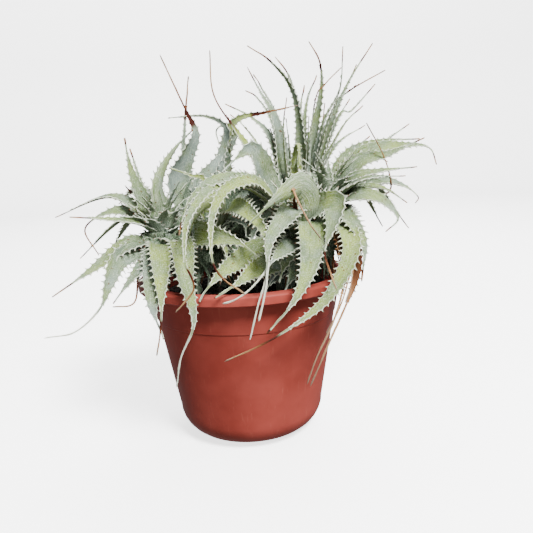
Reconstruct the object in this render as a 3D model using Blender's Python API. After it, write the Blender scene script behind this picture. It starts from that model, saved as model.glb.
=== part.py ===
"""A clump of silver dyckia in a plastic nursery pot.

Five toothed rosettes stand on short stems in plain holes in the soil of an 18 cm pot.
+Z is up, -Y is the front of the plant, and the origin is the centre of the pot's foot.
Sizes and places are in millimetres, and MM turns them into Blender's metres.
"""

import math
import random

import bmesh
import bpy
from mathutils import Vector

MM = 0.001
GAP = 0.3
UP = Vector((0, 0, 1))
FRONT = Vector((0, -1, 0))

# Pot
POT_HEIGHT = 136
RIM_RADIUS = 90
LIP_HEIGHT = 8
LIP_ROUND = 2.2
WALL_TOP_RADIUS = 82.4
WALL_BASE_RADIUS = 58.5
WALL = 1.8
CORNER_ROUND = 24
CREASE_BELOW_LIP = 25
CREASE_STEP = 0.7
FOOT_DISC_RADIUS = 18
FOOT_RING_INNER = 32
FOOT_RECESS = 3
FLOOR_TOP = 5
DRAIN_COUNT = 6
DRAIN_RADIUS = 3.5
DRAIN_CIRCLE = 25
NOTCH_WIDTH = 8
NOTCH_HEIGHT = 2
DRAIN_SIDES = 12
POT_SIDES = 32
ARC_STEPS = 3

# Soil and stems
SOIL_LEVEL = 118
SOIL_DOME = 4
SOIL_LUMP = 1.2
SOIL_RINGS = 3
STEM_DEPTH = 22
STEM_RADIUS = 7.5
STEM_SIDES = 8
BULB_RADIUS = 11

# Leaves
TOOTH_PITCH = 30
LEAST_TEETH = 3
THREAD_PITCH = 16
TOOTH_LENGTH = 3.4
TOOTH_HOOK = 0.45
TOOTH_LIFT = 0.3
LEAST_TOOTH = 0.35
THREAD_WIDTH = 1.5

# A leaf dries to a thread at its tip. The blade of an upright one runs on a little after it starts
# to dry, and all lengths here are shares of the leaf's own length.
DRY_BLADE = 0.14
SHORTEST_BLADE = 0.6
LATEST_THREAD = 0.86

# Blades
UPRIGHT_TAPER = 1.0
HANGING_TAPER = 1.9
HANGING_DROP = 15
TURNED_BY = 0.25
EDGE_THICKNESS = 0.8
MID_THICKNESS = 0.11
CHANNEL = 0.15
BASE_WIDTH = 0.7
BASE_LENGTH = 0.1
CURVE_SAMPLES = 16
LOWEST_ROOT = -12
HIGHEST_ROOT = 3
ROOT_OFFSET = 4.5
STEEPEST = 0.9
FLATTEST = -0.5

# A rosette's crown, the place where its stem leaves the soil, and its leaves. A leaf is its width,
# the angle by which its face is turned to the front, the share of its length where it starts to
# dry, and the places its midline passes to its tip.
ROSETTES = {
    "rosette_left": (
        (-65, -15, 178),
        (-44, -8),
        [
            (20, 40, 0.92, (-87, -5, 223), (-92, 0, 253)),
            (9, 30, 0.88, (-85, 14, 216), (-94, 24, 245)),
            (7, 20, 0.80, (-83, 2, 198), (-97, 6, 214)),
            (16, 25, 0.78, (-80, -24, 186), (-100, -33, 190), (-130, -42, 194)),
            (15, 35, 0.62, (-84, -5, 191), (-108, -8, 194), (-129, -12, 181), (-118, -18, 159)),
            (17, 35, 0.80, (-88, -35, 171), (-116, -50, 153), (-144, -60, 136)),
            (19, 60, 0.62, (-92, -45, 161), (-99, -64, 144), (-105, -72, 128), (-123, -78, 113),
             (-146, -80, 110)),
            (18, 0, 0.95, (-80, -50, 151), (-98, -62, 129)),
            (20, 0, 0.74, (-60, -54, 168), (-57, -84, 135), (-58, -91, 116), (-62, -92, 96)),
            (28, 0, 0.98, (-63, -47, 160), (-64, -81, 132), (-57, -88, 107)),
            (9, 0, 0.50, (-78, -50, 150), (-82, -62, 129), (-98, -64, 127)),
            (22, 45, 0.95, (-64, -18, 195), (-65, -22, 212), (-60, -14, 228), (-50, -4, 243),
             (-36, 4, 257)),
            (25, 60, 1.10, (-42, -24, 175), (-19, -46, 174), (0, -60, 170), (14, -70, 160)),
            (20, 0, 0.72, (-46, -45, 172), (-39, -80, 150), (-33, -98, 122), (-44, -98, 96),
             (-49, -97, 74)),
            (15, 30, 0.98, (-44, -18, 186), (-36, -24, 174), (-38, -34, 153)),
            (10, 20, 0.98, (-76, -14, 189), (-83, -16, 195), (-90, -16, 201)),
        ],
    ),
    "rosette_middle": (
        (-24, 6, 164),
        (-18, 12),
        [
            (34, 50, 0.58, (-51, 10, 211), (-43, 8, 234), (-34, 6, 253), (-40, 6, 271), (-46, 7, 286),
             (-59, 10, 318)),
            (10, 20, 0.70, (-48, 35, 233), (-47, 36, 259), (-40, 36, 304)),
            (16, 20, 0.98, (-17, 20, 227), (-9, 18, 256), (-26, 17, 268), (-58, 17, 268)),
            (32, 50, 0.98, (-33, 14, 208), (-23, 18, 226), (-12, 22, 238), (0, 24, 252)),
            (22, 10, 0.72, (-14, 34, 222), (-10, 28, 250), (1, 24, 265), (25, 21, 269), (53, 17, 273)),
            (17, 40, 0.98, (-36, -8, 190), (-12, 2, 213)),
            (15, 60, 0.98, (-29, 6, 213), (-40, -2, 220), (-57, -4, 227)),
            (18, 30, 0.98, (-20, -8, 178), (-16, -18, 168), (-14, -28, 149)),
            (18, 50, 0.98, (-17, -7, 185), (-16, -16, 200), (-25, -26, 199), (-34, -34, 189),
             (-41, -39, 173)),
            (18, 40, 0.66, (-15, -8, 189), (-4, -28, 196), (9, -56, 191), (19, -74, 179), (21, -86, 166),
             (19, -95, 152), (12, -99, 132), (5, -98, 107)),
            (20, 50, 0.98, (-18, -4, 178), (-6, -10, 184), (3, -14, 178), (4, -15, 167)),
            (18, 30, 0.98, (-24, -14, 169), (-13, -34, 163), (-11, -48, 149)),
            (20, 30, 0.98, (-42, 14, 184), (-57, 18, 184), (-68, 20, 160)),
            (18, 20, 0.98, (-31, -6, 166), (-29, -12, 148), (-30, -18, 128)),
            (22, 40, 0.98, (-14, 30, 231), (-4, 30, 251), (-10, 28, 261), (-18, 24, 256), (-16, 20, 244)),
        ],
    ),
    "rosette_back": (
        (50, 35, 186),
        (37, 34),
        [
            (19, 40, 0.82, (55, 35, 245), (50, 35, 286), (33, 35, 311), (12, 35, 326)),
            (12, 20, 0.85, (56, 46, 254), (49, 49, 298), (36, 51, 319)),
            (19, 40, 0.80, (66, 40, 245), (75, 38, 287), (74, 36, 310), (65, 35, 327)),
            (15, 30, 0.90, (74, 28, 257), (89, 24, 285), (92, 20, 319)),
            (15, 20, 0.90, (83, 52, 262), (99, 60, 288), (111, 65, 311)),
            (16, 30, 0.86, (84, 38, 261), (101, 42, 295), (122, 45, 325)),
            (16, 30, 0.70, (82, 18, 268), (95, 14, 282), (125, 10, 297)),
            (14, 20, 0.90, (91, 55, 263), (105, 60, 270), (128, 65, 293)),
            (14, 10, 0.92, (90, 68, 258), (106, 76, 282)),
            (14, 30, 0.90, (89, 26, 251), (109, 25, 271)),
            (14, 20, 0.90, (62, 55, 272), (74, 62, 303)),
            (15, 30, 0.62, (67, 24, 273), (76, 20, 289), (90, 18, 302)),
            (21, 40, 0.88, (35, 40, 259), (21, 45, 290), (11, 48, 311)),
            (12, 20, 0.90, (38, 60, 260), (23, 68, 295), (16, 72, 308)),
            (14, 20, 0.90, (33, 55, 258), (19, 62, 285), (8, 65, 293)),
            (11, 30, 0.80, (40, 28, 250), (44, 28, 281)),
            (12, 10, 0.90, (58, 70, 269), (64, 80, 297)),
            (18, 30, 0.90, (30, 45, 246), (13, 50, 267), (-11, 54, 281)),
            (26, 60, 0.52, (20, 18, 225), (1, 12, 253), (-17, 9, 284), (-18, 8, 319)),
            (16, 10, 0.92, (87, 60, 237), (120, 75, 257)),
            (15, 30, 0.90, (20, 32, 238), (5, 34, 260), (-6, 35, 270)),
            (24, 30, 0.98, (28, 36, 206), (6, 34, 204), (-8, 32, 188), (-14, 30, 160)),
            (22, 30, 0.98, (34, 18, 192), (16, 10, 184), (4, 4, 164), (0, 2, 140)),
        ],
    ),
    "rosette_right": (
        (76, 4, 199),
        (58, 4),
        [
            (22, 35, 0.92, (97, 24, 230), (124, 30, 240), (161, 35, 241)),
            (26, 45, 0.90, (100, 5, 224), (127, 2, 230), (155, 0, 241)),
            (19, 35, 0.90, (108, 15, 232), (147, 15, 236), (164, 15, 232), (170, 15, 218)),
            (21, 35, 0.92, (99, -8, 214), (145, -14, 218)),
            (19, 25, 0.92, (98, -25, 211), (131, -32, 212)),
            (20, 30, 0.90, (116, 10, 208), (139, 12, 203), (153, 12, 192), (151, 12, 186)),
            (20, 30, 0.92, (98, -16, 204), (116, -20, 203), (135, -22, 190)),
            (21, 35, 0.92, (92, -26, 200), (111, -32, 196), (124, -36, 180), (113, -42, 170)),
            (8, 0, 0.10, (105, 0, 196), (126, 0, 199), (122, 0, 225), (107, 0, 255)),
            (11, 20, 0.92, (99, 42, 230), (120, 52, 246)),
            (11, 20, 0.92, (121, 38, 233), (155, 48, 255)),
            (20, 10, 0.90, (83, -36, 186), (90, -50, 177), (94, -58, 166), (89, -62, 157)),
            (17, 10, 0.90, (84, -42, 184), (92, -64, 165), (88, -74, 139)),
            (17, 10, 0.76, (82, -52, 176), (80, -72, 158), (60, -86, 130), (24, -102, 110),
             (-13, -106, 95)),
            (13, 0, 0.08, (88, -48, 160), (84, -62, 134), (62, -92, 102), (46, -96, 69)),
            (16, 10, 0.98, (81, -24, 183), (84, -34, 163), (76, -44, 139)),
        ],
    ),
    "rosette_front": (
        (48, -14, 174),
        (34, -22),
        [
            (28, 40, 1.05, (53, -40, 188), (54, -46, 199), (50, -53, 208), (43, -59, 210), (28, -73, 202),
             (9, -90, 188)),
            (22, 30, 0.92, (19, -30, 210), (3, -44, 217), (-16, -54, 217), (-32, -62, 206), (-40, -66, 191),
             (-43, -70, 179)),
            (12, 20, 0.80, (10, -34, 209), (-16, -60, 212), (-28, -74, 202), (-35, -86, 188),
             (-36, -96, 170), (-35, -99, 161), (-31, -101, 146), (-45, -100, 130)),
            (12, 50, 0.80, (19, -40, 212), (4, -54, 215), (-8, -66, 210), (-16, -80, 196), (-18, -92, 179),
             (-17, -98, 164), (-11, -101, 153), (4, -103, 141)),
            (22, 20, 0.72, (44, -46, 194), (33, -68, 187), (23, -84, 176), (20, -94, 161), (18, -100, 144),
             (12, -104, 122)),
            (24, 0, 0.97, (55, -44, 185), (54, -64, 173), (50, -84, 157), (43, -98, 144), (34, -106, 132),
             (17, -110, 115)),
            (32, 30, 0.98, (25, -6, 208), (21, -10, 226), (14, -16, 238), (4, -22, 235), (-12, -30, 221)),
            (24, 50, 0.98, (16, -30, 160), (3, -46, 157), (-12, -66, 151), (-24, -88, 142),
             (-29, -96, 135)),
            (22, 50, 0.98, (24, -40, 151), (10, -62, 149), (-3, -84, 144), (-18, -96, 138)),
            (20, 20, 0.60, (45, -36, 168), (34, -60, 164), (23, -84, 159), (16, -95, 152), (7, -101, 144),
             (-3, -103, 138), (-12, -102, 135)),
            (22, 20, 0.98, (44, -34, 168), (36, -44, 156), (28, -52, 136)),
            (24, 10, 0.98, (50, -32, 160), (42, -48, 146), (30, -58, 128)),
            (24, 10, 0.98, (38, -24, 150), (26, -38, 138), (14, -50, 128)),
            (22, 20, 0.98, (35, -36, 157), (18, -50, 131)),
            (20, 30, 0.98, (30, -4, 191), (12, -10, 176), (6, -20, 153)),
            (20, 20, 0.98, (36, -22, 166), (16, -26, 158), (1, -36, 140)),
            (17, 40, 0.98, (48, 2, 213), (48, -6, 225), (50, -10, 239)),
            (28, 60, 0.72, (54, -32, 189), (63, -46, 195), (71, -56, 196), (70, -64, 187), (65, -72, 173),
             (61, -80, 161), (67, -94, 139)),
        ],
    ),
}

# Leaves that the front ones hide fill each rosette by a rule. A fan of arching ones goes round its
# far side, given by its middle heading, its spread, and its number of high and of low leaves. The
# front rosette has no far side of its own.
FANS = {
    "rosette_left": (140, 80, 2, 3),
    "rosette_middle": (108, 36, 1, 3),
    "rosette_back": (75, 80, 2, 5),
    "rosette_right": (42, 16, 1, 2),
    "rosette_front": (-90, 60, 0, 0),
}
FAN_WIDTH = 15
FAN_TURN = 10
FAN_REACH = 95
FAN_KNEE = 0.4
FAN_RISE = 34
FAN_TIP = 16
FAN_SCATTER = 8
DROOP_RISE = 14
DROOP_TIP_HEIGHT = 152
SEED = 7

# Colours
POT_RED = (0.36, 0.085, 0.05)
SOIL_BLACK = (0.02, 0.016, 0.013)
LEAF_SILVER = (0.42, 0.47, 0.36)


def clear_scene():
    for thing in list(bpy.data.objects):
        bpy.data.objects.remove(thing, do_unlink=True)


def make_material(name, colour, roughness):
    material = bpy.data.materials.new(name)
    material.use_nodes = True
    shader = material.node_tree.nodes["Principled BSDF"]
    shader.inputs["Base Color"].default_value = (*colour, 1)
    shader.inputs["Roughness"].default_value = roughness
    return material


def make_object(name, vertices, faces, material=None):
    """A mesh object from places in millimetres."""
    mesh = bpy.data.meshes.new(name)
    mesh.from_pydata([Vector(v) * MM for v in vertices], [], faces)
    mesh.validate()
    thing = bpy.data.objects.new(name, mesh)
    bpy.context.scene.collection.objects.link(thing)
    if material:
        mesh.materials.append(material)
    return thing


def turned(name, profile, sides, material=None):
    """A closed solid turned round the Z axis from a (radius, height) profile, inner end to outer end."""
    vertices = []
    rings = []
    for radius, height in profile:
        if radius == 0:
            rings.append([len(vertices)])
            vertices.append((0, 0, height))
            continue
        rings.append(list(range(len(vertices), len(vertices) + sides)))
        for side in range(sides):
            angle = math.tau * side / sides
            vertices.append((radius * math.cos(angle), radius * math.sin(angle), height))
    faces = []
    for low, high in zip(rings, rings[1:]):
        for side in range(sides):
            after = (side + 1) % sides
            if len(low) == 1:
                faces.append((low[0], high[after], high[side]))
            elif len(high) == 1:
                faces.append((low[side], low[after], high[0]))
            else:
                faces.append((low[side], low[after], high[after], high[side]))
    return make_object(name, vertices, faces, material)


def apply_boolean(thing, operation, cutters, solver="EXACT"):
    """Joins or cuts a solid with a list of others, which are then removed."""
    group = bpy.data.collections.new("cutters")
    bpy.context.scene.collection.children.link(group)
    for cutter in cutters:
        cutter.hide_render = True
        cutter.display_type = "WIRE"
        group.objects.link(cutter)
        bpy.context.scene.collection.objects.unlink(cutter)
    boolean = thing.modifiers.new(operation.lower(), "BOOLEAN")
    boolean.operation = operation
    boolean.operand_type = "COLLECTION"
    boolean.collection = group
    boolean.solver = solver
    bpy.context.view_layer.update()
    result = thing.evaluated_get(bpy.context.evaluated_depsgraph_get())
    joined = bpy.data.meshes.new_from_object(result)
    thing.modifiers.remove(boolean)
    old = thing.data
    thing.data = joined
    bpy.data.meshes.remove(old)
    for cutter in cutters:
        bpy.data.objects.remove(cutter, do_unlink=True)
    bpy.data.collections.remove(group)


def keep_largest_shell(thing):
    """Drops loose scraps and fills sealed hollows, which are shells of their own."""
    mesh = bmesh.new()
    mesh.from_mesh(thing.data)
    unseen = set(mesh.verts)
    shells = []
    while unseen:
        front = [unseen.pop()]
        shell = set(front)
        while front:
            for edge in front.pop().link_edges:
                for vertex in edge.verts:
                    if vertex in unseen:
                        unseen.discard(vertex)
                        shell.add(vertex)
                        front.append(vertex)
        shells.append(shell)
    shells.sort(key=len)
    for shell in shells[:-1]:
        bmesh.ops.delete(mesh, geom=list(shell), context="VERTS")
    mesh.to_mesh(thing.data)
    mesh.free()


def wall_radius(height):
    """The pot's outer wall at a height above its foot."""
    return WALL_BASE_RADIUS + (WALL_TOP_RADIUS - WALL_BASE_RADIUS) * height / POT_HEIGHT


def arc(centre_radius, centre_height, radius, start, end):
    """Points of an arc in a turned profile, with its angles in degrees from the outward level."""
    points = []
    for step in range(ARC_STEPS + 1):
        angle = math.radians(start + (end - start) * step / ARC_STEPS)
        points.append((centre_radius + radius * math.cos(angle), centre_height + radius * math.sin(angle)))
    return points


def make_pot():
    under_lip = POT_HEIGHT - LIP_HEIGHT
    crease = under_lip - CREASE_BELOW_LIP
    corner_centre = wall_radius(CORNER_ROUND) - CORNER_ROUND
    inner_round = CORNER_ROUND - WALL
    profile = [
        (0, 0),
        (FOOT_DISC_RADIUS, 0),
        (FOOT_DISC_RADIUS + 1, FOOT_RECESS),
        (FOOT_RING_INNER - 1, FOOT_RECESS),
        (FOOT_RING_INNER, 0),
    ]
    profile += arc(corner_centre, CORNER_ROUND, CORNER_ROUND, -90, 0)
    profile += [
        (wall_radius(crease) - CREASE_STEP / 2, crease),
        (wall_radius(crease) + CREASE_STEP / 2, crease + CREASE_STEP),
        (wall_radius(under_lip), under_lip),
        (RIM_RADIUS - LIP_ROUND / 2, under_lip),
        (RIM_RADIUS, under_lip + LIP_ROUND / 2),
    ]
    profile += arc(RIM_RADIUS - LIP_ROUND, POT_HEIGHT - LIP_ROUND, LIP_ROUND, 0, 90)
    profile += [
        (wall_radius(POT_HEIGHT) - WALL + 1, POT_HEIGHT),
        (wall_radius(POT_HEIGHT) - WALL, POT_HEIGHT - 1),
        (wall_radius(CORNER_ROUND) - WALL, CORNER_ROUND + FLOOR_TOP - WALL),
    ]
    profile += arc(corner_centre, inner_round + FLOOR_TOP, inner_round, -20, -90)
    profile += [(0, FLOOR_TOP)]
    pot = turned("pot", profile, POT_SIDES, make_material("pot_plastic", POT_RED, 0.45))
    cutters = []
    for index in range(DRAIN_COUNT):
        angle = math.tau * (index + 0.5) / DRAIN_COUNT
        tall = 2 * FLOOR_TOP
        outline = [(0, -1), (DRAIN_RADIUS, -1), (DRAIN_RADIUS, tall), (0, tall)]
        drain = turned("drain", outline, DRAIN_SIDES)
        drain.location = Vector((math.cos(angle), math.sin(angle), 0)) * DRAIN_CIRCLE * MM
        cutters.append(drain)
        cutters.append(make_notch(angle))
    apply_boolean(pot, "DIFFERENCE", cutters)
    for polygon in pot.data.polygons:
        polygon.use_smooth = True
    pot.data.set_sharp_from_angle(angle=math.radians(35))
    return pot


def make_notch(angle):
    """A box that opens the ring under the pot, so that water runs out."""
    inner = FOOT_RING_INNER - 3
    outer = WALL_BASE_RADIUS + 3
    half = NOTCH_WIDTH / 2
    corners = []
    for height in (-1, NOTCH_HEIGHT):
        for radius, side in ((inner, -half), (outer, -half), (outer, half), (inner, half)):
            x = radius * math.cos(angle) - side * math.sin(angle)
            y = radius * math.sin(angle) + side * math.cos(angle)
            corners.append((x, y, height))
    faces = [(0, 3, 2, 1), (4, 5, 6, 7), (0, 1, 5, 4), (1, 2, 6, 5), (2, 3, 7, 6), (3, 0, 4, 7)]
    return make_object("notch", corners, faces)


def make_soil():
    draw = random.Random(SEED)
    inner_floor = wall_radius(CORNER_ROUND) - CORNER_ROUND
    edge = wall_radius(SOIL_LEVEL) - WALL - GAP
    profile = [(0, FLOOR_TOP + GAP), (inner_floor, FLOOR_TOP + GAP)]
    low_side = CORNER_ROUND + FLOOR_TOP
    profile += [(wall_radius(CORNER_ROUND) - WALL - GAP - 3, low_side)]
    profile += [(edge, SOIL_LEVEL)]
    for ring in range(SOIL_RINGS, 0, -1):
        share = ring / (SOIL_RINGS + 1)
        profile.append((edge * share, SOIL_LEVEL + SOIL_DOME * (1 - share ** 2)))
    profile += [(0, SOIL_LEVEL + SOIL_DOME)]
    soil = turned("soil", profile, POT_SIDES, make_material("soil_black", SOIL_BLACK, 0.95))
    for vertex in soil.data.vertices:
        inside = math.hypot(vertex.co.x, vertex.co.y) < (edge - 2) * MM
        if inside and vertex.co.z > (SOIL_LEVEL - 1) * MM:
            vertex.co.z += draw.uniform(-SOIL_LUMP, SOIL_LUMP) * MM
    holes = []
    for crown, foot, leaves in ROSETTES.values():
        bottom = SOIL_LEVEL - STEM_DEPTH - GAP
        radius = STEM_RADIUS + GAP
        top = SOIL_LEVEL + 3 * SOIL_DOME
        hole = turned("hole", [(0, bottom), (radius, bottom), (radius, top), (0, top)], STEM_SIDES)
        hole.location = Vector((*foot, 0)) * MM
        holes.append(hole)
    apply_boolean(soil, "DIFFERENCE", holes)
    return soil


def make_stem(crown, foot):
    """A stem that stands upright in its hole, leans to the crown and swells there."""
    crown = Vector(crown)
    bottom = Vector((*foot, SOIL_LEVEL - STEM_DEPTH))
    ground = Vector((*foot, SOIL_LEVEL + 2 * SOIL_DOME))
    lean = (crown - ground).normalized()
    rings = [
        (bottom, STEM_RADIUS),
        (ground, STEM_RADIUS),
        (crown + lean * (LOWEST_ROOT - 8), STEM_RADIUS + 0.5),
        (crown + lean * LOWEST_ROOT * 0.6, BULB_RADIUS),
        (crown + lean * HIGHEST_ROOT, BULB_RADIUS * 0.9),
        (crown + lean * (HIGHEST_ROOT + 7), BULB_RADIUS * 0.45),
    ]
    vertices = []
    faces = [tuple(reversed(range(STEM_SIDES)))]
    for index, (centre, radius) in enumerate(rings):
        for side in range(STEM_SIDES):
            angle = math.tau * side / STEM_SIDES
            vertices.append(centre + Vector((math.cos(angle), math.sin(angle), 0)) * radius)
            if index:
                low = (index - 1) * STEM_SIDES
                after = (side + 1) % STEM_SIDES
                faces.append((low + side, low + after, low + STEM_SIDES + after, low + STEM_SIDES + side))
    top = len(vertices)
    vertices.append(crown + lean * (HIGHEST_ROOT + 9))
    for side in range(STEM_SIDES):
        faces.append((top - STEM_SIDES + side, top - STEM_SIDES + (side + 1) % STEM_SIDES, top))
    return make_object("stem", vertices, faces)


def smooth_curve(places):
    """Points of a smooth curve through the given places, after the first, which only aims it."""
    points = [Vector(place) for place in places]
    points.append(points[-1] * 2 - points[-2])
    curve = []
    for before, start, end, after in zip(points, points[1:], points[2:], points[3:]):
        for step in range(CURVE_SAMPLES):
            t = step / CURVE_SAMPLES
            curve.append(0.5 * (
                2 * start
                + (end - before) * t
                + (2 * before - 5 * start + 4 * end - after) * t ** 2
                + (3 * start - before - 3 * end + after) * t ** 3
            ))
    curve.append(points[-2])
    return curve


def measured(curve):
    """The distance of each point of a curve from its start."""
    lengths = [0.0]
    for start, end in zip(curve, curve[1:]):
        lengths.append(lengths[-1] + (end - start).length)
    return lengths


def along(curve, lengths, distance):
    """The point and the direction of a curve at a distance from its start."""
    index = 1
    while index < len(curve) - 1 and lengths[index] < distance:
        index += 1
    span = lengths[index] - lengths[index - 1]
    share = (distance - lengths[index - 1]) / span
    point = curve[index - 1].lerp(curve[index], share)
    return point, (curve[index] - curve[index - 1]).normalized()


def leaf_root(crown, first_place):
    """The place in the crown that a leaf grows from: low for a level leaf, high for a steep one."""
    aim = Vector(first_place) - Vector(crown)
    level = Vector((aim.x, aim.y, 0)).normalized()
    steepness = min(1, max(0, (aim.normalized().z - FLATTEST) / (STEEPEST - FLATTEST)))
    lift = LOWEST_ROOT + (HIGHEST_ROOT - LOWEST_ROOT) * steepness
    root = Vector(crown) + UP * lift + level * ROOT_OFFSET
    before = root - (level * 0.7 + UP * (0.4 + steepness)) * aim.length * 0.5
    return before, root


def taper_power(crown, places):
    """An upright leaf narrows all the way along, and one whose tip hangs keeps its width for longer."""
    top = max(Vector(place).z for place in (crown, *places))
    return HANGING_TAPER if top - Vector(places[-1]).z > HANGING_DROP else UPRIGHT_TAPER


def blade_width(width, share, thread_start, power):
    """A leaf's width at a share of its length: narrow in the crown, then tapered to a thread."""
    if share < BASE_LENGTH:
        return width * (BASE_WIDTH + (1 - BASE_WIDTH) * share / BASE_LENGTH)
    if share > thread_start:
        return THREAD_WIDTH
    taper = 1 - ((share - BASE_LENGTH) / (thread_start - BASE_LENGTH)) ** power
    return max(THREAD_WIDTH, width * taper)


def make_leaf(crown, width, turn, drying, places):
    """One channelled, toothed blade as a closed solid. Both faces are split into triangles alike."""
    curve = smooth_curve([*leaf_root(crown, places[0]), *places])
    lengths = measured(curve)
    length = lengths[-1]
    power = taper_power(crown, places)
    bare = DRY_BLADE if power == UPRIGHT_TAPER else 0
    thread_start = max(SHORTEST_BLADE, min(drying + bare, LATEST_THREAD))
    teeth = max(LEAST_TEETH, round(length * thread_start / TOOTH_PITCH))
    shares = [thread_start * index / teeth for index in range(teeth + 1)]
    bends = max(1, round(length * (1 - thread_start) / THREAD_PITCH))
    shares += [thread_start + (1 - thread_start) * bend / bends for bend in range(1, bends)]
    heading = Vector(places[0]) - Vector(crown)
    side = Vector((heading.y, -heading.x, 0)).normalized()
    vertices = []
    frames = []
    for share in shares:
        centre, tangent = along(curve, lengths, share * length)
        side = (side - tangent * side.dot(tangent)).normalized()
        normal = side.cross(tangent)
        if not frames:
            lean = 1 if tangent.cross(normal).dot(FRONT) > 0 else -1
        angle = math.radians(turn) * lean * min(1, share / TURNED_BY)
        face = normal * math.cos(angle) + tangent.cross(normal) * math.sin(angle)
        across = tangent.cross(face)
        frames.append((centre, tangent, across, face, blade_width(width, share, thread_start, power)))
    for centre, tangent, across, face, wide in frames:
        edge = face * EDGE_THICKNESS / 2
        sag = face * (-CHANNEL * wide)
        deep = max(EDGE_THICKNESS, MID_THICKNESS * wide)
        vertices += [
            centre + across * wide / 2 + edge,
            centre + sag + edge,
            centre - across * wide / 2 + edge,
            centre - across * wide / 2 - edge,
            centre + sag + edge - face * deep,
            centre + across * wide / 2 - edge,
        ]
    faces = [(0, 1, 5), (1, 4, 5), (1, 2, 3), (1, 3, 4)]
    for index in range(len(shares) - 1):
        low = 6 * index
        high = low + 6
        for left, right in ((0, 1), (1, 2), (3, 4), (4, 5)):
            if left < 3:
                faces += [(low + left, high + left, high + right), (low + left, high + right, low + right)]
            else:
                faces += [(low + left, high + left, low + right), (low + right, high + left, high + right)]
        for left, right, outward in ((2, 3, -1), (5, 0, 1)):
            if index in range(1, teeth):
                centre, tangent, across, face, wide = frames[index]
                beyond = frames[index + 1]
                reach = TOOTH_LENGTH * min(1, LEAST_TOOTH + wide / width)
                middle = (centre + across * outward * wide / 2).lerp(
                    beyond[0] + beyond[2] * outward * beyond[4] / 2, 0.5 + TOOTH_HOOK / 2)
                tooth = len(vertices)
                point = (across * outward + tangent * TOOTH_HOOK) * reach + face * TOOTH_LIFT
                vertices.append(middle + point)
                rim = (low + left, high + left, high + right, low + right)
                faces += [(rim[side], rim[(side + 1) % 4], tooth) for side in range(4)]
            else:
                faces += [(low + left, high + left, high + right), (low + left, high + right, low + right)]
    tip = len(vertices)
    vertices.append(curve[-1])
    low = 6 * (len(shares) - 1)
    faces += [(low + side, tip, low + (side + 1) % 6) for side in range(6)]
    return make_object("leaf", vertices, faces)


def fan_leaves(name, crown):
    """The arching leaves of a rosette's far side, by a rule."""
    draw = random.Random(SEED + len(name))
    crown = Vector(crown)
    middle, spread, *counts = FANS[name]
    leaves = []
    tiers = ((FAN_RISE, FAN_TIP), (DROOP_RISE, DROOP_TIP_HEIGHT - crown.z))
    for count, (rise, tip_rise) in zip(counts, tiers):
        for index in range(count):
            turn = spread * ((index + 0.5) / count - 0.5) + draw.uniform(-FAN_SCATTER, FAN_SCATTER)
            heading = math.radians(middle + turn)
            out = Vector((math.cos(heading), math.sin(heading), 0))
            reach = FAN_REACH * draw.uniform(0.85, 1.15)
            knee = crown + out * reach * FAN_KNEE + UP * rise * draw.uniform(0.7, 1.2)
            tip = crown + out * reach + UP * (tip_rise + draw.uniform(-FAN_SCATTER, FAN_SCATTER))
            leaves.append((FAN_WIDTH, FAN_TURN, LATEST_THREAD, knee, tip))
    return leaves


def make_rosette(name, crown, foot, leaves, material):
    """A rosette fused from its stem and its leaves."""
    blades = [make_leaf(crown, width, turn, drying, places) for width, turn, drying, *places in leaves]
    for width, turn, drying, *places in fan_leaves(name, crown):
        blades.append(make_leaf(crown, width, turn, drying, places))
    rosette = make_stem(crown, foot)
    apply_boolean(rosette, "UNION", blades, "MANIFOLD")
    keep_largest_shell(rosette)
    rosette.name = name
    rosette.data.name = name
    rosette.data.materials.clear()
    rosette.data.materials.append(material)


def main():
    clear_scene()
    make_pot()
    make_soil()
    leaf_material = make_material("leaf_silver", LEAF_SILVER, 0.6)
    for name, (crown, foot, leaves) in ROSETTES.items():
        make_rosette(name, crown, foot, leaves, leaf_material)


main()
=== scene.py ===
"""A clump of silver dyckia in a plastic nursery pot: its surfaces, its light and its camera.

Sizes and places are in millimetres, and MM turns them into metres. Angles are in degrees. +Z is up,
-Y is the front of the plant, and the origin is the centre of the pot's foot.
"""

import math
import random

import bmesh
import bpy
from mathutils import Matrix, Vector, noise


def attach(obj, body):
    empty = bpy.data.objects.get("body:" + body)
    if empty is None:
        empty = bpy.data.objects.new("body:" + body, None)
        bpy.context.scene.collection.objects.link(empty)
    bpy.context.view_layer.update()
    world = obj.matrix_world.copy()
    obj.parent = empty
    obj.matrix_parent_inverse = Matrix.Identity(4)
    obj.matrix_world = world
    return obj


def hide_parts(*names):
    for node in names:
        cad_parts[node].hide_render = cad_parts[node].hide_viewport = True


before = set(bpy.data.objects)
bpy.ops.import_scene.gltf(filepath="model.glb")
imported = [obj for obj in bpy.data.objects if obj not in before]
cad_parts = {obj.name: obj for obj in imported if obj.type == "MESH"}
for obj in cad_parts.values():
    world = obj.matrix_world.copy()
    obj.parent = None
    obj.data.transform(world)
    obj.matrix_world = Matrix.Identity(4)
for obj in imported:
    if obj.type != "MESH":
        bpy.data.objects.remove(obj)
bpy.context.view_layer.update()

MM = 0.001
UP = Vector((0, 0, 1))
FRONT = Vector((0, -1, 0))
SEED = 7

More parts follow.
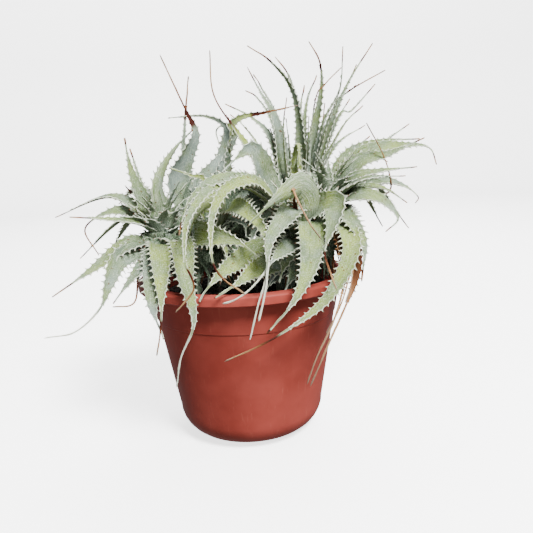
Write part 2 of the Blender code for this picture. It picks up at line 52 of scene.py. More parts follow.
# Pot
POT_HEIGHT = 136
RIM_RADIUS = 90
LIP_HEIGHT = 8
LIP_ROUND = 2.2
WALL_TOP_RADIUS = 82.4
WALL_BASE_RADIUS = 58.5
WALL = 1.8
MOUTH_BEVEL = 1
CORNER_ROUND = 24
INNER_CORNER_START = -20
CREASE_BELOW_LIP = 25
CREASE_STEP = 0.7
FOOT_DISC_RADIUS = 18
FOOT_RING_INNER = 32
FOOT_RECESS = 3
RECESS_SLOPE = 1
FLOOR_TOP = 5
DRAIN_COUNT = 6
DRAIN_RADIUS = 3.5
DRAIN_CIRCLE = 25
DRAIN_SIDES = 32
NOTCH_WIDTH = 8
NOTCH_HEIGHT = 2
NOTCH_OVERRUN = 3
POT_SIDES = 144
ARC_STEPS = 8
POT_SMOOTH_ANGLE = 35

# Soil. A pair of numbers is the least and the most of a draw, here and below.
SOIL_LEVEL = 118
SOIL_DOME = 4
SOIL_GAP = 0.5
SOIL_CORNER_GAP = 3
SOIL_FLAT_EDGE = 2
SOIL_RINGS = 30
SOIL_SIDES = 120
SOIL_RELIEF = 2.5
CLODS_PER_MM = 0.14
GRIT_PER_MM = 0.4
GRIT_SHARE = 0.6
CRUMB_COUNT = 420
CRUMB_REACH = 0.96
CRUMB_SIZE = (0.91, 2.86)
CRUMB_LUMPS = (0.75, 1.2)
CRUMB_STRETCH = (1.4, 1, 0.7)

# Stems. The bulb under a crown has places along the stem from the crown, and the radius at each.
STEM_DEPTH = 22
STEM_RADIUS = 7.5
STEM_RING = 4
STEM_SIDES = 24
BULB = ((-20, 8), (-7.2, 8.5), (3, 7.65), (10, 3.825))

# Teeth. A straight blank is two units wide, with one tooth in each unit of its length.
TOOTH_PITCH = 5.4
LEAST_TEETH = 6
TOOTH_FROM = 0.5
TOOTH_TO = 0.75
BLANK_SLACK = 0.01
TIPS_BEYOND = 1.5
TOOTH_LENGTH = 3.2
TOOTH_THICKNESS = 0.35
TOOTH_SPREAD = (0.75, 1.15)
TOOTH_HOOK = (0.3, 0.8)
TOOTH_LIFT = (-0.3, 0.8)
LEAST_TOOTH = 0.3
SCALLOP = 1.4
ROWS = 4
COLUMNS = 8
THREAD_UNITS = 6

# Blades, in millimetres
THREAD_WIDTH = 0.9
THREAD_END = 0.35
EDGE_THICKNESS = 0.7
THICKEST = 3.2
RIPPLE = 0.5
RIPPLE_LENGTH = 9
RIPPLE_PHASES = (0, 100)
WAVY_WIDTH = 12
HANGING_DROP = 15
LOWEST_ROOT = -12
HIGHEST_ROOT = 3
ROOT_OFFSET = 4.5

# Blades, as shares: of the width, of the length, and of the greatest thickness
BASE_WIDTH = 0.7
MID_THICKNESS = 0.11
CHANNEL = 0.15
BASE_LENGTH = 0.1
TURNED_BY = 0.25
SHORTEST_BLADE = 0.6
DRY_BLADE = 0.14
LATEST_THREAD = 0.86
LEAST_DRYING = 0.08
THINNEST = 0.05

# Blades: how they narrow, how they leave the crown, and how finely they are drawn
UPRIGHT_TAPER = 1.0
HANGING_TAPER = 1.9
FLATTEST = -0.5
STEEPEST = 0.9
ROOT_SPREAD = 0.7
ROOT_CLIMB = 0.4
LEAST_WAVE = 0.25
EDGES_APART = 5
CURVE_SAMPLES = 16
UV_PER_MM = 0.02
LEAF_SMOOTH_ANGLE = 50

# The tone of a leaf painted dark green as the shade deep in the clump, and what is added to that of a leaf
# whose dry end is bleached
SHADED_TONE = -1
BLEACHED = 2

# Each rosette's crown, and the place where its stem leaves the soil
CROWNS = {
    "left": ((-65, -15, 178), (-44, -8)),
    "middle": ((-24, 6, 164), (-18, 12)),
    "back": ((50, 35, 186), (37, 34)),
    "right": ((76, 4, 199), (58, 4)),
    "front": ((48, -14, 174), (34, -22)),
}

# A leaf is its width, the angle by which its face is turned to the front, its tone from silver at 0
# to yellow green at 1, the share of its length where it starts to dry, and the places its midline
# passes to its tip. With a share below 0 it is all dry, and above 1 it is green to its tip.
LEAVES = {
    "left": [
        (20, 40, 0.45, 0.92, (-87, -5, 223), (-92, 0, 253)),
        (9, 30, 0.3, 0.88, (-85, 14, 216), (-94, 24, 245)),
        (7, 20, 0.4, 0.8, (-83, 2, 198), (-97, 6, 214)),
        (16, 25, 0.55, 0.78, (-80, -24, 186), (-100, -33, 190), (-130, -42, 194)),
        (15, 35, 0.35, 0.62, (-84, -5, 191), (-108, -8, 194), (-129, -12, 181), (-118, -18, 159)),
        (17, 35, 0.55, 0.8, (-88, -35, 171), (-116, -50, 153), (-144, -60, 136)),
        (19, 60, BLEACHED + 0.3, 0.62, (-92, -45, 161), (-99, -64, 144), (-105, -72, 128),
         (-123, -78, 113), (-146, -80, 110)),
        (18, 0, 0.3, 0.95, (-80, -50, 151), (-98, -62, 129)),
        (20, 0, 0.8, 0.74, (-60, -54, 168), (-57, -84, 135), (-58, -91, 116), (-62, -92, 96)),
        (28, 0, 0.2, 0.98, (-63, -47, 160), (-64, -81, 132), (-57, -88, 107)),
        (9, 0, 0.2, 0.5, (-78, -50, 150), (-82, -62, 129), (-98, -64, 127)),
        (22, 45, 0.4, 0.95, (-64, -18, 195), (-65, -22, 212), (-60, -14, 228), (-50, -4, 243),
         (-36, 4, 257)),
        (25, 60, 0.8, 1.1, (-42, -24, 175), (-19, -46, 174), (0, -60, 170), (14, -70, 160)),
        (20, 0, BLEACHED + 0.65, 0.72, (-46, -45, 172), (-39, -80, 150), (-33, -98, 122), (-44, -98, 96),
         (-49, -97, 74)),
        (15, 30, 0.15, 0.98, (-44, -18, 186), (-36, -24, 174), (-38, -34, 153)),
        (10, 20, 0.85, 0.98, (-76, -14, 189), (-83, -16, 195), (-90, -16, 201)),
    ],
    "middle": [
        (34, 50, 0.1, 0.58, (-51, 10, 211), (-43, 8, 234), (-34, 6, 253), (-40, 6, 271), (-46, 7, 286),
         (-59, 10, 318)),
        (10, 20, 0.25, 0.7, (-48, 35, 233), (-47, 36, 259), (-40, 36, 304)),
        (16, 20, 0.1, 0.98, (-17, 20, 227), (-9, 18, 256), (-26, 17, 268), (-58, 17, 268)),
        (32, 50, 0.05, 0.98, (-33, 14, 208), (-23, 18, 226), (-12, 22, 238), (0, 24, 252)),
        (22, 10, 0.95, 0.72, (-14, 34, 222), (-10, 28, 250), (1, 24, 265), (25, 21, 269), (53, 17, 273)),
        (17, 40, 0.1, 0.98, (-36, -8, 190), (-12, 2, 213)),
        (15, 60, 1.0, 0.98, (-29, 6, 213), (-40, -2, 220), (-57, -4, 227)),
        (18, 30, 0.3, 0.98, (-20, -8, 178), (-16, -18, 168), (-14, -28, 149)),
        (18, 50, 0.75, 0.98, (-17, -7, 185), (-16, -16, 200), (-25, -26, 199), (-34, -34, 189),
         (-41, -39, 173)),
        (18, 40, BLEACHED + 0.75, 0.66, (-15, -8, 189), (-4, -28, 196), (9, -56, 191), (19, -74, 179),
         (21, -86, 166), (19, -95, 152), (12, -99, 132), (5, -98, 107)),
        (20, 50, 0.15, 0.98, (-18, -4, 178), (-6, -10, 184), (3, -14, 178), (4, -15, 167)),
        (18, 30, 0.75, 0.98, (-24, -14, 169), (-13, -34, 163), (-11, -48, 149)),
        (20, 30, 0.15, 0.98, (-42, 14, 184), (-57, 18, 184), (-68, 20, 160)),
        (18, 20, 0.1, 0.98, (-31, -6, 166), (-29, -12, 148), (-30, -18, 128)),
        (22, 40, 0.3, 0.98, (-14, 30, 231), (-4, 30, 251), (-10, 28, 261), (-18, 24, 256),
         (-16, 20, 244)),
    ],
    "back": [
        (19, 40, 0.3, 0.82, (55, 35, 245), (50, 35, 286), (33, 35, 311), (12, 35, 326)),
        (12, 20, 0.4, 0.85, (56, 46, 254), (49, 49, 298), (36, 51, 319)),
        (19, 40, 0.45, 0.8, (66, 40, 245), (75, 38, 287), (74, 36, 310), (65, 35, 327)),
        (15, 30, 0.3, 0.9, (74, 28, 257), (89, 24, 285), (92, 20, 319)),
        (15, 20, 0.35, 0.9, (83, 52, 262), (99, 60, 288), (111, 65, 311)),
        (16, 30, 0.4, 0.86, (84, 38, 261), (101, 42, 295), (122, 45, 325)),
        (16, 30, 0.5, 0.7, (82, 18, 268), (95, 14, 282), (125, 10, 297)),
        (14, 20, 0.35, 0.9, (91, 55, 263), (105, 60, 270), (128, 65, 293)),
        (14, 10, 0.3, 0.92, (90, 68, 258), (106, 76, 282)),
        (14, 30, 0.55, 0.9, (89, 26, 251), (109, 25, 271)),
        (14, 20, 0.4, 0.9, (62, 55, 272), (74, 62, 303)),
        (15, 30, 0.3, 0.62, (67, 24, 273), (76, 20, 289), (90, 18, 302)),
        (21, 40, 0.3, 0.88, (35, 40, 259), (21, 45, 290), (11, 48, 311)),
        (12, 20, 0.3, 0.9, (38, 60, 260), (23, 68, 295), (16, 72, 308)),
        (14, 20, 0.35, 0.9, (33, 55, 258), (19, 62, 285), (8, 65, 293)),
        (11, 30, 0.45, 0.8, (40, 28, 250), (44, 28, 281)),
        (12, 10, 0.35, 0.9, (58, 70, 269), (64, 80, 297)),
        (18, 30, 0.4, 0.9, (30, 45, 246), (13, 50, 267), (-11, 54, 281)),
        (26, 60, 0.95, 0.52, (20, 18, 225), (1, 12, 253), (-17, 9, 284), (-18, 8, 319)),
        (16, 10, 0.4, 0.92, (87, 60, 237), (120, 75, 257)),
        (15, 30, 0.5, 0.9, (20, 32, 238), (5, 34, 260), (-6, 35, 270)),
        (24, 30, 0.1, 0.98, (28, 36, 206), (6, 34, 204), (-8, 32, 188), (-14, 30, 160)),
        (22, 30, 0.1, 0.98, (34, 18, 192), (16, 10, 184), (4, 4, 164), (0, 2, 140)),
    ],
    "right": [
        (22, 35, 0.35, 0.92, (97, 24, 230), (124, 30, 240), (161, 35, 241)),
        (26, 45, 0.5, 0.9, (100, 5, 224), (127, 2, 230), (155, 0, 241)),
        (19, 35, 0.55, 0.9, (108, 15, 232), (147, 15, 236), (164, 15, 232), (170, 15, 218)),
        (21, 35, 0.55, 0.92, (99, -8, 214), (145, -14, 218)),
        (19, 25, 0.4, 0.92, (98, -25, 211), (131, -32, 212)),
        (20, 30, 0.35, 0.9, (116, 10, 208), (139, 12, 203), (153, 12, 192), (151, 12, 186)),
        (20, 30, 0.5, 0.92, (98, -16, 204), (116, -20, 203), (135, -22, 190)),
        (21, 35, 0.4, 0.92, (92, -26, 200), (111, -32, 196), (124, -36, 180), (113, -42, 170)),
        (8, 0, 0.6, 0.1, (105, 0, 196), (126, 0, 199), (122, 0, 225), (107, 0, 255)),
        (11, 20, 0.35, 0.92, (99, 42, 230), (120, 52, 246)),
        (11, 20, 0.35, 0.92, (121, 38, 233), (155, 48, 255)),
        (20, 10, 0.55, 0.9, (83, -36, 186), (90, -50, 177), (94, -58, 166), (89, -62, 157)),
        (17, 10, 0.55, 0.9, (84, -42, 184), (92, -64, 165), (88, -74, 139)),
        (17, 10, 0.7, 0.76, (82, -52, 176), (80, -72, 158), (60, -86, 130), (24, -102, 110),
         (-13, -106, 95)),
        (13, 0, 0.5, 0.08, (88, -48, 160), (84, -62, 134), (62, -92, 102), (46, -96, 69)),
        (16, 10, 0.2, 0.98, (81, -24, 183), (84, -34, 163), (76, -44, 139)),
    ],
    "front": [
        (28, 40, 0.6, 1.05, (53, -40, 188), (54, -46, 199), (50, -53, 208), (43, -59, 210),
         (28, -73, 202), (9, -90, 188)),
        (22, 30, 0.35, 0.92, (19, -30, 210), (3, -44, 217), (-16, -54, 217), (-32, -62, 206),
         (-40, -66, 191), (-43, -70, 179)),
        (12, 20, 0.7, 0.8, (10, -34, 209), (-16, -60, 212), (-28, -74, 202), (-35, -86, 188),
         (-36, -96, 170), (-35, -99, 161), (-31, -101, 146), (-45, -100, 130)),
        (12, 50, 0.75, 0.8, (19, -40, 212), (4, -54, 215), (-8, -66, 210), (-16, -80, 196),
         (-18, -92, 179), (-17, -98, 164), (-11, -101, 153), (4, -103, 141)),
        (22, 20, BLEACHED + 0.35, 0.72, (44, -46, 194), (33, -68, 187), (23, -84, 176), (20, -94, 161),
         (18, -100, 144), (12, -104, 122)),
        (24, 0, 0.55, 0.97, (55, -44, 185), (54, -64, 173), (50, -84, 157), (43, -98, 144),
         (34, -106, 132), (17, -110, 115)),
        (32, 30, 0.15, 0.98, (25, -6, 208), (21, -10, 226), (14, -16, 238), (4, -22, 235),
         (-12, -30, 221)),
        (24, 50, 0.7, 0.98, (16, -30, 160), (3, -46, 157), (-12, -66, 151), (-24, -88, 142),
         (-29, -96, 135)),
        (22, 50, 0.75, 0.98, (24, -40, 151), (10, -62, 149), (-3, -84, 144), (-18, -96, 138)),
        (20, 20, BLEACHED + 0.25, 0.6, (45, -36, 168), (34, -60, 164), (23, -84, 159), (16, -95, 152),
         (7, -101, 144), (-3, -103, 138), (-12, -102, 135)),
        (22, 20, 0.2, 0.98, (44, -34, 168), (36, -44, 156), (28, -52, 136)),
        (24, 10, 0.1, 0.98, (50, -32, 160), (42, -48, 146), (30, -58, 128)),
        (24, 10, 0.15, 0.98, (38, -24, 150), (26, -38, 138), (14, -50, 128)),
        (22, 20, 0.15, 0.98, (35, -36, 157), (18, -50, 131)),
        (20, 30, 0.2, 0.98, (30, -4, 191), (12, -10, 176), (6, -20, 153)),
        (20, 20, 0.1, 0.98, (36, -22, 166), (16, -26, 158), (1, -36, 140)),
        (17, 40, 1.0, 0.98, (48, 2, 213), (48, -6, 225), (50, -10, 239)),
        (28, 60, 0.55, 0.72, (54, -32, 189), (63, -46, 195), (71, -56, 196), (70, -64, 187),
         (65, -72, 173), (61, -80, 161), (67, -94, 139)),
    ],
}

# Leaves between the rosettes, most of them painted dark green as the shade deep in the clump, in the same
# order of values
INNER_LEAVES = {
    "middle": [
        (26, 70, SHADED_TONE, 0.98, (-15, 8, 192), (-5, 8, 205), (7, 6, 208), (18, 4, 198)),
        (26, 70, SHADED_TONE, 0.98, (-27, 6, 185), (-31, 10, 202), (-24, 14, 211), (-14, 16, 216)),
        (26, 70, SHADED_TONE, 0.98, (-8, 4, 179), (4, 2, 192), (18, 0, 191), (26, -6, 178)),
        (26, 70, SHADED_TONE, 0.98, (-39, 4, 180), (-45, 8, 194), (-46, 10, 207), (-41, 12, 217)),
        (28, 70, SHADED_TONE, 0.98, (-14, 14, 174), (-4, 16, 170), (2, 14, 161), (5, 12, 147)),
    ],
    "front": [
        (26, 70, SHADED_TONE, 0.98, (37, 6, 188), (19, 12, 204), (0, 14, 205), (-17, 14, 190)),
        (26, 70, SHADED_TONE, 0.98, (29, 0, 181), (13, 4, 193), (-1, 2, 189), (-12, -2, 174)),
        (16, 0, 1.0, 0.98, (48, -2, 222), (49, -6, 238), (50, -11, 239), (50, -14, 222)),
        (3, 0, 0.5, -0.3, (41, -56, 208), (43, -74, 202), (47, -80, 193), (52, -86, 183), (58, -90, 174)),
    ],
    "back": [
        (26, 70, SHADED_TONE, 0.98, (30, 26, 196), (10, 24, 190), (-2, 22, 172), (-6, 20, 148)),
        (26, 70, SHADED_TONE, 0.98, (36, 10, 192), (24, 2, 184), (14, -2, 168), (10, -4, 150)),
        (26, 70, SHADED_TONE, 0.98, (32, 18, 200), (14, 12, 196), (2, 8, 180), (-2, 6, 160)),
        (30, 70, SHADED_TONE, 0.98, (34, 30, 183), (10, 28, 180), (-5, 24, 167), (-11, 22, 146)),
        (16, 30, 0.25, 0.95, (46, 32, 224), (43, 34, 264)),
        (16, 30, 0.2, 0.95, (52, 38, 228), (53, 44, 270)),
        (16, 20, 0.35, 0.95, (59, 30, 227), (63, 34, 265)),
        (15, 20, 0.3, 0.95, (66, 44, 227), (73, 50, 273)),
        (16, 30, 0.2, 0.95, (38, 40, 221), (29, 48, 257)),
        (15, 20, 0.3, 0.95, (67, 28, 220), (79, 30, 254)),
        (14, 20, 0.4, -0.3, (66, 36, 227), (74, 38, 253), (78, 40, 276)),
    ],
    "right": [
        (7, 30, 0.5, -0.15, (80, -50, 160), (80, -66, 148), (76, -78, 136), (69, -86, 122),
         (59, -92, 107)),
        (6, 60, 0.5, -0.1, (84, -44, 162), (84, -58, 149), (81, -68, 136), (75, -78, 125)),
        (9, 20, 0.5, -0.6, (76, -54, 163), (76, -70, 148), (72, -84, 133), (63, -94, 113), (52, -98, 93),
         (44, -98, 72)),
    ],
}

# Leaves that the front ones hide, by a rule: a fan's middle heading, its spread, and its number of
# high and of low leaves
FANS = {
    "left": (140, 80, 2, 3),
    "middle": (108, 36, 1, 3),
    "back": (75, 80, 2, 5),
    "right": (42, 16, 1, 2),
    "front": (-90, 60, 0, 0),
}
FAN_WIDTH = 15
FAN_TURN = 10
FAN_TONE = 0.4
FAN_REACH = 95
FAN_KNEE = 0.4
FAN_RISE = 34
FAN_TIP = 16
DROOP_RISE = 14
DROOP_TIP_HEIGHT = 152
FAN_SCATTER = (-8, 8)
FAN_REACH_SHARE = (0.85, 1.15)
FAN_RISE_SHARE = (0.7, 1.2)

# Young leaves that stand in each heart, and the sheaths at their feet. Each is drawn in its own
# sector of a circle round the crown.
HEART_LEAVES = (
    {"count": 6, "width": 9, "tone": 0.3, "sector": (-0.48, 0.48), "height": (22.8, 41.8),
     "knee_reach": 8.4, "knee_height": 0.5, "reach": 24},
    {"count": 8, "width": 15, "tone": 0.2, "sector": (0.2, 0.8), "height": (12, 26.4),
     "knee_reach": 15, "knee_height": 0.7, "reach": 30},
)
ALWAYS_GREEN = 1.1

# Old leaves that fill the gap between a rosette and the soil, painted dark green as the shade there
LOW_COUNT = 11
LOW_SECTOR = (0.1, 0.9)
LOW_WIDTH = (19.2, 26.4)
LOW_TURN = 10
LOW_DRYING = 0.98
LOW_REACH = (30, 44)
LOW_KNEE_SHARE = 0.6
LOW_KNEE_DROP = (2, 8)
LOW_TIP_HEIGHT = (2, 16)
WALL_CLEARANCE = 74

# Dead leaves that hang round each stem
OLD_COUNT = 13
OLD_STEP = 137.5
OLD_START_SHARE = (0.1, 0.45)
OLD_WIDTH = (7.8, 14.3)
OLD_TONE = 0.4
OLD_DRYING = (-0.25, 0.2)
OLD_REACH = (14.4, 26.4)
OLD_KNEE_SHARE = 0.7
OLD_KNEE_RISE = (-4, 3)
OLD_TIP_SHARE = (0.8, 1.4)
OLD_DROP_SHARE = (0.6, 0.95)
OLD_CLEARANCE = 6

# Camera, for a square picture
CAMERA_TARGET = (19.2, 0, 139.2)
CAMERA_DISTANCE = 474
CAMERA_PITCH = 11.2
CAMERA_ROLL = 2.9
CAMERA_NEAR = 10
CAMERA_FAR = 50000
SENSOR = 36
LENS = 37.15

# Lights: the place of each, what it is aimed at, its width and its power
LIGHTS = {
    "key": ((500, -900, 1300), (20, 0, 150), 500, 112),
    "fill": ((250, -1300, 120), (20, 0, 170), 900, 9),
    "back": ((200, 1000, 1200), (20, 0, 180), 800, 16),
    "backdrop": ((0, 1300, 2400), (0, 3200, 700), 2400, 190),
}
SKY_STRENGTH = 0.5

# Floor, which bends up into a backdrop
STAGE_CENTRE = 20
STAGE_FLAT = 2600
STAGE_BEND = 900
STAGE_TOP = 2600
STAGE_DROP = 0.5
STAGE_STEPS = 12
STAGE_SIDES = 96
STAGE_GLOW = 2.2

# Colours, linear
POT_SHADE = (0.142, 0.0230, 0.0165)
POT_LIT = (0.208, 0.0385, 0.0290)
POT_SCUFF = (0.36, 0.11, 0.075)
SILVER = (0.115, 0.152, 0.130)
GREY_GREEN = (0.088, 0.125, 0.053)
YELLOW_GREEN = (0.150, 0.196, 0.022)
SCURF = (0.48, 0.51, 0.42)
# A dark green painted as shade: on leaves deep in the clump, near each crown and, in part, in the furrows
SHADE_GREEN = (0.026, 0.050, 0.018)
SPECK_BROWN = (0.07, 0.022, 0.010)
TOOTH_BROWN = (0.085, 0.022, 0.012)
MAROON = (0.014, 0.005, 0.005)
DRY_ORANGE = (0.12, 0.052, 0.022)
DRY_TAN = (0.30, 0.18, 0.085)
DRY_GREY = (0.16, 0.13, 0.10)
SOIL_BLACK = (0.006, 0.0045, 0.0035)
SOIL_BROWN = (0.026, 0.016, 0.010)
STAGE_DIM = (0.93, 0.93, 0.93)
STAGE_PALE = (0.95, 0.95, 0.95)

# Grain of the finishes, in waves per metre
LEAF_PATCHES = 55
LEAF_DUST = 1100
LEAF_SPECKS = 420
TOOTH_PATCHES = 150
POT_MOTTLE = 14
POT_MARKS = 320
POT_SCUFFS = 90
POT_GRAIN = 900
SOIL_CLODS = 260
SOIL_GRAINS = 1400
STAGE_CLOUD = 3

# Grain that runs one way: along a leaf, on its UV map, and up or round the pot
LEAF_LINES = 2.2
LEAF_LINE_STRETCH = (26, 1.2, 1)
POT_MARK_STRETCH = (1, 1, 0.08)
POT_SCUFF_STRETCH = (1, 1, 2.4)


def select_only(*things):
    """Selects these objects and no other. The first is the active one."""
    bpy.ops.object.select_all(action="DESELECT")
    for thing in things:
        thing.select_set(True)
    bpy.context.view_layer.objects.active = things[0]


def apply_modifier(thing, kind, **values):
    select_only(thing)
    bpy.ops.object.modifier_add(type=kind)
    modifier = thing.modifiers[-1]
    for name, value in values.items():
        setattr(modifier, name, value)
    bpy.ops.object.modifier_apply(modifier=modifier.name)


def join(name, things):
    """One object from several, its place in its mesh."""
    select_only(*things)
    if len(things) > 1:
        bpy.ops.object.join()
    piece = bpy.context.view_layer.objects.active
    bpy.ops.object.transform_apply(location=True, rotation=True, scale=True)
    piece.name = name
    piece.data.name = name
    return piece


def own_copy(thing):
    copy = thing.copy()
    copy.data = thing.data.copy()
    bpy.context.scene.collection.objects.link(copy)
    return copy


def paint(piece, *materials):
    piece.data.materials.clear()
    for material in materials:
        piece.data.materials.append(material)


def level(angle):
    """The level direction at an angle from +X, in radians."""
    return Vector((math.cos(angle), math.sin(angle), 0))


class Nodes:
    """The node tree of one material, with short calls for the nodes used here."""

    def __init__(self, name):
        self.material = bpy.data.materials.new(name)
        self.material.use_nodes = True
        self.tree = self.material.node_tree
        self.shader = self.tree.nodes["Principled BSDF"]

    def feed(self, node, inputs):
        """Links each named input to a socket, or sets it to a number, a vector or a colour tuple."""
        for name, value in inputs.items():
            if isinstance(value, bpy.types.NodeSocket):
                self.tree.links.new(value, node.inputs[name])
            else:
                node.inputs[name].default_value = (*value, 1) if isinstance(value, tuple) else value

    def add(self, kind, inputs, output, **values):
        """One output of a new node."""
        node = self.tree.nodes.new("ShaderNode" + kind)
        for name, value in values.items():
            setattr(node, name, value)
        self.feed(node, inputs)
        return node.outputs[output]

    def place(self, scale=(1, 1, 1), uv=False):
        """Object coordinates, or the UV map, stretched by a scale."""
        coordinates = self.add("TexCoord", {}, "UV" if uv else "Object")
        return self.add("Mapping", {"Vector": coordinates, "Scale": Vector(scale)}, "Vector")

    def noise(self, place, scale, detail=3, roughness=0.55):
        inputs = {"Vector": place, "Scale": scale, "Detail": detail, "Roughness": roughness}
        return self.add("TexNoise", inputs, "Fac")

    def ramp(self, value, low, high, low_to=0, high_to=1):
        """A value carried from one range to another, smoothly and no further."""
        inputs = {"Value": value, "From Min": low, "From Max": high, "To Min": low_to, "To Max": high_to}
        return self.add("MapRange", inputs, "Result", interpolation_type="SMOOTHSTEP")

    def math(self, operation, first, second):
        return self.add("Math", {0: first, 1: second}, "Value", operation=operation)

    def plus(self, first, second):
        return self.math("ADD", first, second)

    def times(self, first, second):
        return self.math("MULTIPLY", first, second)

    def mix(self, factor, first, second):
        """Two colours mixed, on the sockets that this node has for colours."""
        return self.add("Mix", {0: factor, 6: first, 7: second}, 2, data_type="RGBA")

    def colours(self, value, *stops):
        """A colour ramp through (place, colour) stops."""
        node = self.tree.nodes.new("ShaderNodeValToRGB")
        self.feed(node, {"Fac": value})
        elements = node.color_ramp.elements
        while len(elements) < len(stops):
            elements.new(0.5)
        for element, (place, colour) in zip(elements, stops):
            element.position = place
            element.color = (*colour, 1)
        return node.outputs["Color"]

    def bump(self, height, strength, distance, **under):
        """The surface raised by a height, over another normal if one is given."""
        inputs = {"Height": height, "Strength": strength, "Distance": distance * MM, **under}
        return self.add("Bump", inputs, "Normal")

    def finish(self, **inputs):
        """Feeds the shader, whose inputs are named with _ for each space, and gives the material."""
        self.feed(self.shader, {name.replace("_", " "): value for name, value in inputs.items()})
        return self.material


def leaf_material(name, striped):
    """Scurfy silver leaf, with stronger lines where it is striped.

    Its growth attribute holds dryness, tone, whether a point is a tooth's tip and, as alpha, whether
    the dry end is bleached. Its UV map runs across a blade from 0 to 1, and along it from the crown.
    """
    line_mask, furrow_shade_mask, line_height = (0.4, 0.5, 1.5) if striped else (0.18, 0.34, 0.8)
    nodes = Nodes(name)
    growth = nodes.add("Attribute", {}, "Color", attribute_name="growth")
    bleached = nodes.add("Attribute", {}, "Alpha", attribute_name="growth")
    dryness, tone, tip = (
        nodes.add("SeparateColor", {"Color": growth}, part) for part in ("Red", "Green", "Blue"))
    across, along_blade = (
        nodes.add("SeparateXYZ", {"Vector": nodes.place(uv=True)}, axis) for axis in ("X", "Y"))
    patches = nodes.noise(nodes.place(), LEAF_PATCHES)
    lines = nodes.noise(nodes.place(LEAF_LINE_STRETCH, uv=True), LEAF_LINES, detail=2, roughness=0.6)
    dust = nodes.noise(nodes.place(), LEAF_DUST, detail=2, roughness=0.7)
    specks = nodes.noise(nodes.place(), LEAF_SPECKS, detail=1, roughness=0.5)

    # Silver to yellow green by tone, then painted shade: dark green on leaves whose tone is below 0, and
    # near the crown
    shade = nodes.plus(nodes.times(tone, 0.8), nodes.ramp(patches, 0.3, 0.7, -0.16, 0.36))
    colour = nodes.colours(shade, (0, SILVER), (0.45, GREY_GREEN), (1, YELLOW_GREEN))
    # Painted shade: a leaf with a tone below 0 turns dark green
    colour = nodes.mix(nodes.ramp(tone, -0.1, -0.9, 0, 0.8), colour, SHADE_GREEN)
    # Painted shade near the crown: strongest in the first 15 mm of a blade and gone by 55 mm
    colour = nodes.mix(nodes.ramp(along_blade, 0.3, 1.1, 0.6, 0), colour, SHADE_GREEN)

    # Scurf in lines, with dark green furrows between them, partly bare leaf and partly painted shade; scurf
    # also as dust and along the margins, and brown specks
    colour = nodes.mix(nodes.ramp(lines, 0.47, 0.64, 0, line_mask), colour, SCURF)
    # The furrows: dark green, partly the bare leaf between scurf lines and partly painted shade in the
    # hollows
    colour = nodes.mix(nodes.ramp(lines, 0.46, 0.32, 0, furrow_shade_mask), colour, SHADE_GREEN)
    colour = nodes.mix(nodes.ramp(dust, 0.5, 0.68, 0, 0.32), colour, SCURF)
    colour = nodes.mix(nodes.ramp(specks, 0.69, 0.75, 0, 0.8), colour, SPECK_BROWN)
    from_middle = nodes.math("ABSOLUTE", nodes.math("SUBTRACT", across, 0.5), 0)
    margin = nodes.times(nodes.ramp(from_middle, 0.475, 0.5, 0, 0.6), nodes.ramp(tone, -0.9, -0.1))
    colour = nodes.mix(margin, colour, SCURF)

    # Brown tips on some of the teeth
    some_teeth = nodes.ramp(nodes.noise(nodes.place(), TOOTH_PATCHES, detail=1, roughness=0.5), 0.42, 0.55)
    colour = nodes.mix(nodes.times(nodes.ramp(tip, 0.45, 0.9), some_teeth), colour, TOOTH_BROWN)

    # The dry end: maroon where it starts, then orange, tan and grey, or bleached
    wither = nodes.plus(dryness, nodes.ramp(patches, 0.3, 0.7, -0.05, 0.05))
    dry = nodes.colours(
        wither, (0, MAROON), (0.25, MAROON), (0.45, DRY_ORANGE), (0.75, DRY_TAN), (1, DRY_GREY))
    dry = nodes.mix(nodes.ramp(lines, 0.35, 0.65, 0.5, 0), dry, TOOTH_BROWN)
    dry = nodes.mix(nodes.times(bleached, 0.85), dry, SCURF)
    colour = nodes.mix(nodes.ramp(wither, 0.05, 0.16), colour, dry)

    relief = nodes.plus(nodes.times(lines, line_height), dust)
    return nodes.finish(
        Base_Color=colour, Roughness=nodes.ramp(dust, 0.3, 0.7, 0.5, 0.72),
        Normal=nodes.bump(relief, strength=0.35, distance=0.3), Specular_IOR_Level=0.02)


def pot_material():
    """Matt terracotta red plastic with mottling, faint upright marks and a few pale scuffs."""
    nodes = Nodes("pot_red_plastic")
    mottle = nodes.noise(nodes.place(), POT_MOTTLE, detail=4, roughness=0.6)
    colour = nodes.mix(nodes.ramp(mottle, 0.3, 0.7), POT_SHADE, POT_LIT)
    marks = nodes.noise(nodes.place(POT_MARK_STRETCH), POT_MARKS, roughness=0.6)
    colour = nodes.mix(nodes.ramp(marks, 0.58, 0.8, 0, 0.18), colour, POT_SCUFF)
    scuffs = nodes.noise(nodes.place(POT_SCUFF_STRETCH), POT_SCUFFS, detail=4, roughness=0.75)
    colour = nodes.mix(nodes.ramp(scuffs, 0.70, 0.76, 0, 0.5), colour, POT_SCUFF)
    grain = nodes.noise(nodes.place(), POT_GRAIN, detail=2, roughness=0.6)
    fine_normal = nodes.bump(grain, strength=0.12, distance=0.2)
    return nodes.finish(
        Base_Color=colour, Roughness=nodes.ramp(mottle, 0.3, 0.7, 0.36, 0.5),
        Normal=nodes.bump(mottle, strength=0.25, distance=1.2, Normal=fine_normal),
        Specular_IOR_Level=0.05)


def soil_material():
    nodes = Nodes("soil_peat")
    clods = nodes.noise(nodes.place(), SOIL_CLODS, detail=5, roughness=0.7)
    colour = nodes.mix(nodes.ramp(clods, 0.42, 0.68), SOIL_BLACK, SOIL_BROWN)
    grains = nodes.noise(nodes.place(), SOIL_GRAINS, roughness=0.7)
    normal = nodes.bump(nodes.plus(clods, grains), strength=0.9, distance=1.4)
    return nodes.finish(Base_Color=colour, Roughness=0.95, Normal=normal, Specular_IOR_Level=0.15)


